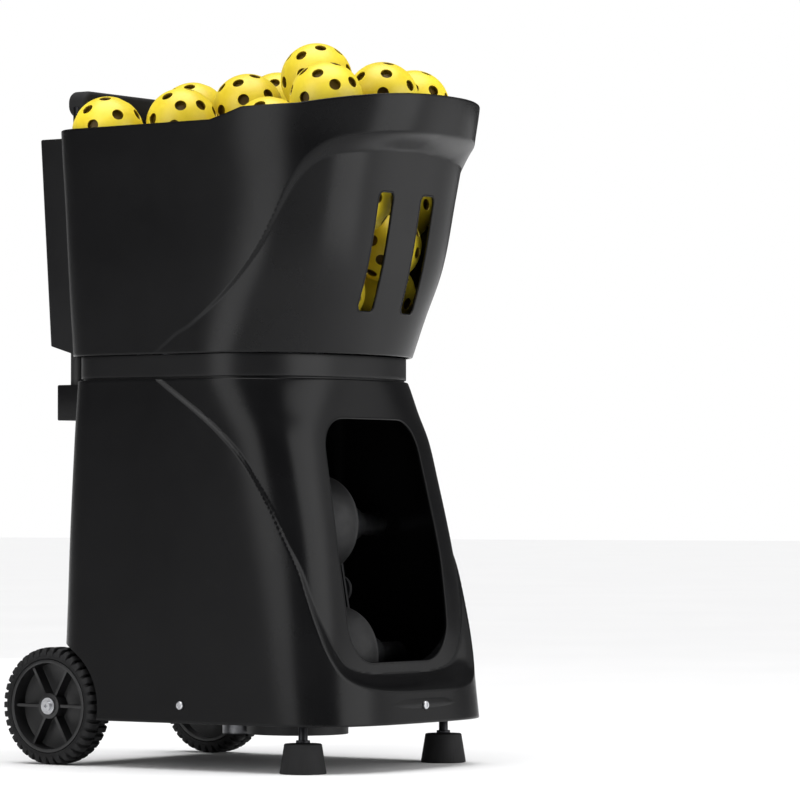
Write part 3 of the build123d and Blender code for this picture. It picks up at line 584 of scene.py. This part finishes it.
def wall_rings(outer, inner, low, high, wall, edge=1.4, rows=190, inner_rows=60):
    """Closed loop of rings round a wall's section: up the outside, over a rounded edge, down the inside."""
    columns = outer.rows.shape[1]
    low = np.broadcast_to(np.asarray(low, float), (columns,))
    high = np.broadcast_to(np.asarray(high, float), (columns,))
    quarter = np.linspace(0, math.pi / 2, 5)
    rings = [outer.ring(low + edge + (high - low - 2 * edge) * t) for t in np.linspace(0, 1, rows)]
    for a in quarter[1:]:
        rings.append(outer.ring(high - edge + edge * math.sin(a), edge * (1 - math.cos(a))))
    for a in quarter[::-1]:
        rings.append(inner.ring(high - edge + edge * math.sin(a), wall - edge * (1 - math.cos(a))))
    rings += [inner.ring(high - edge - (high - low - 2 * edge) * t, wall)
              for t in np.linspace(0, 1, inner_rows)[1:]]
    for a in quarter[1:]:
        rings.append(inner.ring(low + edge - edge * math.sin(a), wall - edge * (1 - math.cos(a))))
    for a in quarter[::-1]:
        rings.append(outer.ring(low + edge - edge * math.sin(a), edge * (1 - math.cos(a))))
    return rings[:-1]


def shell_piece(name, outer, inner, low, high, wall, material, **rows):
    rings = [whole_ring(r) for r in wall_rings(outer, inner, low, high, wall, **rows)]
    columns = len(rings[0])
    return piece_from(name, np.vstack(rings), ring_faces(len(rings), columns, True), material)


def solid_of(surface, low, high, inset, rows=40):
    """The same outline moved in, as a closed solid without a hollow."""
    rings = [whole_ring(surface.ring(z, inset)) for z in np.linspace(low, high, rows)]
    columns = len(rings[0])
    faces = ring_faces(rows, columns, False)
    faces += [list(reversed(range(columns))), [(rows - 1) * columns + j for j in range(columns)]]
    return cutter(np.vstack(rings), faces)


def surface_y(table, x, z):
    """Front y of a plan section at x."""
    w, _, front, start, power = section_values(table, np.array([z]))[0]
    return start - (start - front) * (1 - abs(x / w) ** power) ** (1 / power)


def rounded_outline(corners, radii, steps=10):
    """A closed polygon with round corners, as points."""
    points, count = [], len(corners)
    for k, (corner, radius) in enumerate(zip(corners, radii)):
        p = Vector(corner)
        back = (Vector(corners[k - 1]) - p).normalized()
        ahead = (Vector(corners[(k + 1) % count]) - p).normalized()
        half = back.angle(ahead) / 2
        centre = p + (back + ahead).normalized() * radius / math.sin(half)
        first = p + back * radius / math.tan(half) - centre
        last = p + ahead * radius / math.tan(half) - centre
        turn = first.angle_signed(last)
        for j in range(steps + 1):
            a = -turn * j / steps
            points.append((centre.x + first.x * math.cos(a) - first.y * math.sin(a),
                           centre.y + first.x * math.sin(a) + first.y * math.cos(a)))
    return points


def spaced(outline, step):
    """The same closed outline with extra points on its long runs."""
    points = []
    for (x0, z0), (x1, z1) in zip(outline, outline[1:] + outline[:1]):
        count = max(1, int(math.hypot(x1 - x0, z1 - z0) / step))
        points += [(x0 + (x1 - x0) * k / count, z0 + (z1 - z0) * k / count) for k in range(count)]
    return points


def edge_bead(name, table, outline, radius, sink, body):
    """The rolled edge that frames an opening in a front wall."""
    path = [(x, surface_y(table, x, z) + sink, z) for x, z in spaced(outline, 4)]
    points, faces = tube(path, radius)
    return settle(piece_from(name, points, faces, FINISH["shell"]), body, "shell")


EXIT_LINE = rounded_outline([(-87, 107), (87, 107), (90, 215), (80, 353), (-80, 353), (-90, 215)],
                            [42, 42, 150, 36, 36, 150])
WHEEL_AT = centre_mm("right_tyre")


def slot_outline(side):
    inner, outer = side * SLOT_X - SLOT_HALF, side * SLOT_X + SLOT_HALF
    corners = [(inner, SLOT_LOW), (outer, SLOT_LOW), (outer, SLOT_HIGH), (inner, SLOT_HIGH)]
    return rounded_outline(corners, [SLOT_CORNER] * 4)


def base_sunk_share(s, z):
    signed, width = beside(smooth_line(BASE_SWOOSH), s, z)
    return rounded_ramp(-signed / width)


def hopper_sunk_share(s, z):
    signed, width = beside(smooth_line(HOPPER_SWOOSH), s, z)
    return rounded_ramp(1 + signed / width)


def everywhere(value):
    return lambda s, z: np.full(s.shape, float(value))


def along_axle(radius, side, near, far, segments=128):
    """A cutter round the wheels' axle, from near to far on one side of the machine."""
    x0, x1 = sorted((side * near, side * far))
    points, faces = lathe([(x0, radius), (x1, radius)], segments, closed=False)
    return cutter([(x, y + WHEEL_AT[1], z + WHEEL_AT[2]) for x, y, z in points], faces)


def make_base_shell():
    outer = Shell(BASE_FULL, BASE_SUNK, base_sunk_share, BASE_LOW - 1, BASE_HIGH + 1)
    foot, over_foot = tuple(BASE_FULL[1][1:]), tuple(BASE_SUNK[1][1:])
    inner_table = [BASE_FULL[0], (78,) + foot, (94,) + over_foot] + BASE_SUNK[2:]
    inner = Shell(inner_table, inner_table, everywhere(0), BASE_LOW - 1, BASE_HIGH + 1)
    shell = shell_piece("base_shell_moulding", outer, inner, BASE_LOW, BASE_HIGH, BASE_WALL, FINISH["shell"],
                        rows=215)
    for side in (-1, 1):
        liner = along_axle(ARCH_R + ARCH_WALL, side, ARCH_X - ARCH_WALL, 160)
        combine(liner, solid_of(outer, BASE_LOW + 0.4, BASE_HIGH - 1, 1.6), "INTERSECT")
        combine(shell, liner, "UNION")
        combine(shell, along_axle(ARCH_R, side, ARCH_X, 170), "DIFFERENCE")
    combine(shell, cutter(*block(*AXLE_NOTCH)), "DIFFERENCE")
    combine(shell, along_axle(AXLE_HOLE_R, 1, -130, 130, 32), "DIFFERENCE")
    combine(shell, cutter(*prism_y(EXIT_LINE, FRONT_Y, DEPTH_Y)), "DIFFERENCE")
    shade(shell)
    settle(shell, "chassis", "shell", "base_shell")
    edge_bead("exit_edge", BASE_SUNK, EXIT_LINE, 1.3, 1.0, "chassis")


def make_hopper_shell():
    outer = Shell(HOPPER_FULL, HOPPER_SUNK, hopper_sunk_share, HOPPER_LOW - 1, HOPPER_TOP)
    inner_table = HOPPER_SUNK[:5] + [(646,) + tuple(HOPPER_FULL[4][1:]), HOPPER_FULL[5], HOPPER_FULL[6]]
    inner = Shell(inner_table, inner_table, everywhere(0), HOPPER_LOW - 1, HOPPER_TOP)
    y, z = zip(*sorted(RIM_LINE))
    rim = np.interp(outer.rows[-20, :, 1], y, z)
    shell = shell_piece("hopper_shell_moulding", outer, inner, HOPPER_LOW, rim, HOPPER_WALL, FINISH["shell"],
                        rows=175)
    for side in (-1, 1):
        combine(shell, cutter(*prism_y(slot_outline(side), FRONT_Y, DEPTH_Y)), "DIFFERENCE")
    shade(shell)
    settle(shell, "chassis", "shell", "hopper_shell")
    for side, name in ((-1, "left"), (1, "right")):
        edge_bead(name + "_slot_edge", HOPPER_SUNK, slot_outline(side), 1.2, 0.7, "chassis")


def make_neck():
    """The dark band between the shells, with its tongue inside the base shell's top edge."""
    band = Shell(NECK, NECK, everywhere(0), NECK_LOW, NECK_HIGH + 0.3)
    neck = shell_piece("neck_moulding", band, band, NECK_LOW, NECK_HIGH, NECK_WALL, FINISH["trim"],
                       edge=0.6, rows=8, inner_rows=8)
    settle(neck, "chassis", "trim", "neck_band")
    top = Shell(BASE_SUNK, BASE_SUNK, everywhere(0), TONGUE_LOW - 1, TONGUE_HIGH + 2.6)
    outside, inside = BASE_WALL + 0.4, BASE_WALL + 2.8
    corners = ((TONGUE_LOW, outside), (TONGUE_HIGH, outside), (TONGUE_HIGH, inside), (TONGUE_LOW, inside))
    rings = [whole_ring(top.ring(z, inset)) for z, inset in corners]
    faces = ring_faces(len(rings), len(rings[0]), True)
    settle(piece_from("neck_tongue", np.vstack(rings), faces, FINISH["trim"]), "chassis", "trim")


make_base_shell()
make_hopper_shell()
make_neck()


# ---- wheels ----
LUGS = 38                        # in each of a tyre's two rows
TYRE_HALF, RIM_SEAT, WEAR_R = 15.5, 47.4, 60.0


def tyre_form(out):
    """A tyre with two staggered rows of chunky lugs; out is 1 for the right wheel and -1 for the left."""
    form = Form()
    half = TYRE_HALF
    right = [(half - 4, 56), (half - 1.2, 54.6), (half, 52), (half, RIM_SEAT + 1.2), (half - 2, RIM_SEAT)]
    left = [(-x, r) for x, r in reversed(right)]
    form.add(*lathe(left + [(0, 56.6)] + right, 4 * LUGS))
    lug_line = [(0.9, 55.6), (1.2, WEAR_R - 0.8), (2.2, WEAR_R - 0.1), (9, WEAR_R), (12.4, WEAR_R - 0.5),
                (14.7, WEAR_R - 2), (15.9, 55.4), (15.9, 51.6), (14.4, 51.0), (9, 54.5)]
    for row in (-1, 1):
        for k in range(LUGS):
            middle = 2 * math.pi * (k + (0.5 if row > 0 else 0)) / LUGS
            add_lug(form, [(row * a, r) for a, r in lug_line], middle, 2 * math.pi / LUGS * 0.31)
    for ring_r in (49.4, 50.6):
        form.add(*lathe([(out * half - 0.4, ring_r - 0.35), (out * (half + 0.45), ring_r),
                         (out * half - 0.4, ring_r + 0.35)], 120))
    return form


def add_lug(form, line, middle, half_angle):
    """One tread block: its section carried round a few degrees, with eased ends."""
    steps = ((-1.0, 0.9), (-0.86, 0.0), (0.86, 0.0), (1.0, 0.9))
    points = []
    for share, drop in steps:
        angle = middle + share * half_angle
        for a, r in line:
            radius = r - (drop if r > 55.8 else 0)
            points.append((a, radius * math.cos(angle), radius * math.sin(angle)))
    count, faces = len(line), []
    for i in range(len(steps) - 1):
        for j in range(count):
            n = (j + 1) % count
            faces.append([i * count + j, i * count + n, (i + 1) * count + n, (i + 1) * count + j])
    faces += [list(reversed(range(count))), [(len(steps) - 1) * count + j for j in range(count)]]
    form.add(points, faces)


def make_wheel(side, out):
    middle = centre_mm(side + "_tyre")
    form = tyre_form(out)
    form.points = [(x + middle[0], y + middle[1], z + middle[2]) for x, y, z in form.points]
    tyre = form.piece(side + "_tyre_tread", FINISH["tyre_rubber"], 40)
    outward(tyre)
    shade(tyre, 40)
    settle(tyre, side + "_wheel", "tyre_rubber", side + "_tyre")
    rim = rounded_copy(side + "_rim", 0.5, FINISH["rim"])
    settle(rim, side + "_wheel", "trim", side + "_rim")


for wheel_side, wheel_out in (("left", -1), ("right", 1)):
    make_wheel(wheel_side, wheel_out)


# ---- the balls ----
BALL_R, BALL_WALL, HOLE_R = 37.0, 2.0, 5.9


def islands(mesh):
    """Groups of vertex numbers joined by edges."""
    parent = list(range(len(mesh.vertices)))

    def root(i):
        while parent[i] != i:
            parent[i] = parent[parent[i]]
            i = parent[i]
        return i

    for edge in mesh.edges:
        a, b = (root(i) for i in edge.vertices)
        parent[a] = b
    groups = {}
    for i in range(len(parent)):
        groups.setdefault(root(i), []).append(i)
    return list(groups.values())


def sphere_through(points):
    """Centre and radius of the sphere that fits the points best."""
    system = np.column_stack([2 * points, np.ones(len(points))])
    answer = np.linalg.lstsq(system, (points ** 2).sum(axis=1), rcond=None)[0]
    return answer[:3], math.sqrt(answer[3] + answer[:3] @ answer[:3])


def ball_centres():
    """Where the CAD's balls are: the middles of the outer skins in its mesh."""
    mesh = NODES["pickleballs"].data
    place = np.array([v.co for v in mesh.vertices]) / MM
    found = []
    for group in islands(mesh):
        if len(group) > 300:
            centre, radius = sphere_through(place[group])
            if abs(radius - BALL_R) < 0.2:
                found.append(centre)
    return sorted(found, key=lambda c: (round(c[2], 1), round(c[0], 1), round(c[1], 1)))


def hole_directions():
    """Towards a cube's faces, edges and corners: 26 holes."""
    steps = (-1, 0, 1)
    return [Vector((x, y, z)).normalized() for x in steps for y in steps for z in steps if x or y or z]


def ball_mesh():
    """One hollow ball with round-edged holes and the fine weld line round its middle."""
    form = bmesh.new()
    bmesh.ops.create_icosphere(form, subdivisions=5, radius=BALL_R)
    for v in form.verts:
        weld = math.exp(-(v.co.z / 0.55) ** 2)
        v.co = v.co * (1 + 0.16 * weld / BALL_R)
    hollow = bmesh.new()
    bmesh.ops.create_icosphere(hollow, subdivisions=4, radius=BALL_R - BALL_WALL)
    skin = cutter([v.co for v in form.verts], [[v.index for v in f.verts] for f in form.faces])
    core = cutter([v.co for v in hollow.verts], [[v.index for v in f.verts] for f in hollow.faces])
    combine(skin, core, "DIFFERENCE")
    drills = Form()
    profile = [(BALL_R - 5, HOLE_R), (BALL_R - 1.1, HOLE_R), (BALL_R - 0.7, HOLE_R + 0.12),
               (BALL_R - 0.35, HOLE_R + 0.4), (BALL_R + 0.6, HOLE_R + 1.7)]
    for direction in hole_directions():
        turn = direction.to_track_quat("X", "Z").to_matrix().to_4x4()
        drills.add(*lathe(profile, 28, closed=False), turn)
    combine(skin, cutter(drills.points, drills.faces), "DIFFERENCE")
    points = [v.co / MM for v in skin.data.vertices]
    faces = [list(p.vertices) for p in skin.data.polygons]
    bpy.data.objects.remove(skin)
    form.free()
    hollow.free()
    return points, faces


def make_balls():
    points, faces = ball_mesh()
    load = Form()
    centres = ball_centres()
    for k, centre in enumerate(centres):
        turn = Matrix.Rotation(math.radians(47 * k), 4, "X") @ Matrix.Rotation(math.radians(101 * k), 4, "Z")
        load.add(points, faces, Matrix.Translation(centre) @ turn)
    balls = load.piece("ball_load", FINISH["ball"], 28)
    # faces inside each ball take the darker copy of the ball plastic: painted shade in the hollow
    balls.data.materials.append(FINISH["ball_inside_painted_shade"])
    middles = np.zeros(3 * len(balls.data.polygons))
    balls.data.polygons.foreach_get("center", middles)
    middles = middles.reshape(len(centres), -1, 3) / MM
    out = np.linalg.norm(middles - np.array(centres)[:, None, :], axis=2)
    balls.data.polygons.foreach_set("material_index", (out < BALL_R - 1.2).astype(int).ravel())
    settle(balls, "ball_load", "ball", "pickleballs")


make_balls()


# ---- the rest of the CAD's own shapes, with broken edges ----
# node: edge width, body, material slot, finish
SOFTENED = {
    "rear_box": (0.7, "chassis", "shell", "box"),
    "handle_bracket": (0.8, "chassis", "trim", "trim"),
    "handle_grip": (0.5, "handle", "grip", "grip"),
    "left_foot_cup": (1.0, "left_foot", "foot_rubber", "foot_rubber"),
    "right_foot_cup": (1.0, "right_foot", "foot_rubber", "foot_rubber"),
    "left_foot_stem": (0.4, "left_foot", "zinc", "stem"),
    "right_foot_stem": (0.4, "right_foot", "zinc", "stem"),
    "control_panel": (0.5, "chassis", "panel", "panel"),
    "rocker_frame": (0.4, "chassis", "panel", "panel"),
    "charging_socket": (0.3, "chassis", "panel", "panel"),
    "power_rocker": (0.5, "rocker", "rocker", "rocker"),
    "upper_launch_tread": (0.8, "upper_launch_wheel", "tread", "tread"),
    "lower_launch_tread": (0.8, "lower_launch_wheel", "tread", "tread"),
}
for soft_node, (edge, soft_body, soft_slot, soft_finish) in SOFTENED.items():
    settle(rounded_copy(soft_node, edge, FINISH[soft_finish]), soft_body, soft_slot, soft_node)

CARRIED = {
    "deck": ("feed_deck", "feed_funnel", "drop_tube", "ball_guide", "handle_tubes"),
    "frame_plate": ("base_plate", "left_yoke", "right_yoke", "left_cradle_plate", "right_cradle_plate",
                    "axle_bracket", "battery_strap"),
    "steel": ("frame_posts",),
    "dark_steel": ("handle_rods",),
    "shaft": ("axle", "pivot_pins"),
    "zinc": ("shell_screws", "axle_screws", "foot_nuts"),
    "bronze": ("yaw_bushing",),
    "motor": ("swing_motor", "elevation_motor", "upper_launch_motor", "lower_launch_motor", "feed_motor"),
    "gear": ("turntable_gear", "swing_pinion"),
    "trim": ("feed_disc", "upper_launch_hub", "lower_launch_hub"),
    "cell": ("battery",),
    "board": ("control_board",),
    "screen": ("display",),
    "button": ("button_1", "button_2", "button_3", "button_4"),
}
for finish, carried in CARRIED.items():
    for node in carried:
        mesh = NODES[node].data
        mesh.materials.clear()
        mesh.materials.append(FINISH[finish])


# ---- what the display shows and what the buttons say ----
PANEL_LEAN = math.radians(3.78)              # slope of the rear panel
ACROSS = Vector((-1, 0, 0))
UPWARDS = Vector((0, math.sin(PANEL_LEAN), math.cos(PANEL_LEAN)))
OUTWARDS = Vector((0, math.cos(PANEL_LEAN), -math.sin(PANEL_LEAN)))
# lit strokes of each numeral: top, upper right, lower right, bottom, lower left, upper left, middle
STROKES = {"0": "1111110", "3": "1111001", "4": "0110011", "5": "1011011"}
DIGIT_RISE, SIGN_RISE = 0.18, 0.15
GLASS_THICK, BUTTON_DEEP = 1.1, 7            # as the CAD has them
BAR = [(-2.2, -0.4), (2.2, -0.4), (2.2, 0.4), (-2.2, 0.4)]
SIGNS = {"button_1": [[(-1.6, -2.1), (2.2, 0), (-1.6, 2.1)]],
         "button_2": [[(-1.7, -1.7), (1.7, -1.7), (1.7, 1.7), (-1.7, 1.7)]],
         "button_3": [BAR, [(-0.4, 0.4), (0.4, 0.4), (0.4, 2.2), (-0.4, 2.2)],
                      [(-0.4, -2.2), (0.4, -2.2), (0.4, -0.4), (-0.4, -0.4)]],
         "button_4": [BAR]}


def raised(form, outline, origin, height):
    """A flat shape standing proud of the rear panel's slope by height."""
    count = len(outline)
    foot = [origin + a * ACROSS + b * UPWARDS for a, b in outline]
    faces = [[k, (k + 1) % count, count + (k + 1) % count, count + k] for k in range(count)]
    form.add(foot + [p + OUTWARDS * height for p in foot],
             faces + [list(reversed(range(count))), list(range(count, 2 * count))])


def outer_face(node, thick):
    """Middle of the outer face of a flat node of that thickness on the rear panel."""
    return Vector(centre_mm(node)) + OUTWARDS * (thick / 2)


def numeral(form, figure, origin, width=8.0, height=16.0, stroke=1.7):
    """One figure of seven strokes with pointed ends."""
    half = stroke / 2
    end, shoulder = width / 2 - half, width / 2 - stroke
    level = [(-end, 0), (-shoulder, half), (shoulder, half), (end, 0), (shoulder, -half), (-shoulder, -half)]
    tall = height / 2 - 0.3
    upright = [(0, half), (half, stroke), (half, tall - half), (0, tall), (-half, tall - half),
               (-half, stroke)]
    right, left, top = width / 2 - half / 2, -width / 2 + half / 2, height / 2
    places = [(level, 0, top), (upright, right, 0), (upright, right, -top), (level, 0, -top),
              (upright, left, -top), (upright, left, 0), (level, 0, 0)]
    for lit, (shape, a, b) in zip(STROKES[figure], places):
        if lit == "1":
            raised(form, [(x + a, y + b) for x, y in shape], origin, DIGIT_RISE)


def make_panel_marks():
    digits, glass = Form(), outer_face("display", GLASS_THICK)
    for figure, across in zip("4530", (-30, -18.5, 16, 28)):
        numeral(digits, figure, glass + ACROSS * across)
    point = [(-0.9, -0.9), (0.9, -0.9), (0.9, 0.9), (-0.9, 0.9)]
    raised(digits, point, glass + ACROSS * 22 - UPWARDS * 7.4, DIGIT_RISE)
    settle(digits.piece("display_digits", FINISH["digits"]), "chassis", "screen")
    for button, shapes in SIGNS.items():
        sign, face = Form(), outer_face(button, BUTTON_DEEP)
        for shape in shapes:
            raised(sign, shape, face, SIGN_RISE)
        settle(sign.piece(button + "_sign", FINISH["mark"]), button, "button")


make_panel_marks()


# ---- camera, floor and light ----
def make_camera():
    """A long lens, a quarter of a metre above the floor, on the machine's front left corner."""
    place = Vector((-3.58789, -2.66288, 0.25849))
    level = Vector((0.82009, 0.57223, 0))
    right = Vector((0.57223, -0.82009, 0))
    aim = level + right * 0.00152 + Vector((0, 0, 0.02576))
    camera = bpy.data.objects.new("camera", bpy.data.cameras.new("camera"))
    camera.data.lens = 195.2
    camera.data.sensor_width = 36
    camera.data.clip_start, camera.data.clip_end = 0.1, 200
    camera.location = place
    camera.rotation_mode = "QUATERNION"
    camera.rotation_quaternion = aim.to_track_quat("-Z", "Y")
    bpy.context.scene.collection.objects.link(camera)
    bpy.context.scene.camera = camera


def make_floor():
    surface = Surface("pale_floor", Specular_IOR_Level=0.25)
    surface.colour(surface.noise(1.5, 4), (0.2, (0.86, 0.86, 0.865, 1)), (0.8, (0.89, 0.89, 0.893, 1)))
    surface.roughness(surface.noise(6), 0.5, 0.62)
    size = 30000
    floor = piece_from("floor", [(-size, -size, 0), (size, -size, 0), (size, size, 0), (-size, size, 0)],
                       [[0, 1, 2, 3]], surface.material)


def place_light(light, place, aim):
    lamp = bpy.data.objects.new(light.name, light)
    lamp.location = place
    lamp.rotation_mode = "QUATERNION"
    lamp.rotation_quaternion = (Vector(aim) - Vector(place)).to_track_quat("-Z", "Y")
    lamp.visible_camera = False
    bpy.context.scene.collection.objects.link(lamp)


def soft_box(name, place, aim, width, height, radiance):
    """A rectangular studio light; its power follows from its size and how bright its face is."""
    light = bpy.data.lights.new(name, "AREA")
    light.shape, light.size, light.size_y = "RECTANGLE", width, height
    light.energy = math.pi * width * height * radiance
    place_light(light, place, aim)


def ceiling_light(strength, spread_degrees):
    """Even light from straight above, as from a ceiling of diffusers, so the floor is white all over."""
    light = bpy.data.lights.new("ceiling", "SUN")
    light.energy, light.angle = strength, math.radians(spread_degrees)
    place_light(light, (0, 0, 3), (0, 0.001, 0))


def make_sky(seen, cast):
    """An even pale background, with a dimmer one for what it lights and what reflects it."""
    world = bpy.data.worlds.new("sky")
    world.use_nodes = True
    tree = world.node_tree
    background = tree.nodes["Background"]
    background.inputs["Color"].default_value = (1, 1, 1, 1)
    path = tree.nodes.new("ShaderNodeLightPath")
    strength = tree.nodes.new("ShaderNodeMapRange")
    strength.inputs["To Min"].default_value = cast
    strength.inputs["To Max"].default_value = seen
    tree.links.new(path.outputs["Is Camera Ray"], strength.inputs["Value"])
    tree.links.new(strength.outputs["Result"], background.inputs["Strength"])
    bpy.context.scene.world = world


make_camera()
make_floor()
make_sky(1.0, 0.07)
ceiling_light(3.56, 60)
soft_box("left_box", (-1.15, 0.2, 0.8), (-0.1, 0.0, 0.35), 0.6, 1.6, 3.0)
soft_box("front_left_box", (0.25, -1.75, 0.75), (0, -0.1, 0.35), 1.4, 1.6, 3.2)
soft_box("front_right_box", (1.35, -1.3, 0.75), (0, -0.1, 0.35), 0.8, 1.6, 0.9)
soft_box("back_box", (1.5, 2.6, 0.8), (0, 0.1, 0.35), 2.4, 1.8, 0.25)
bpy.context.scene.view_settings.view_transform = "Standard"
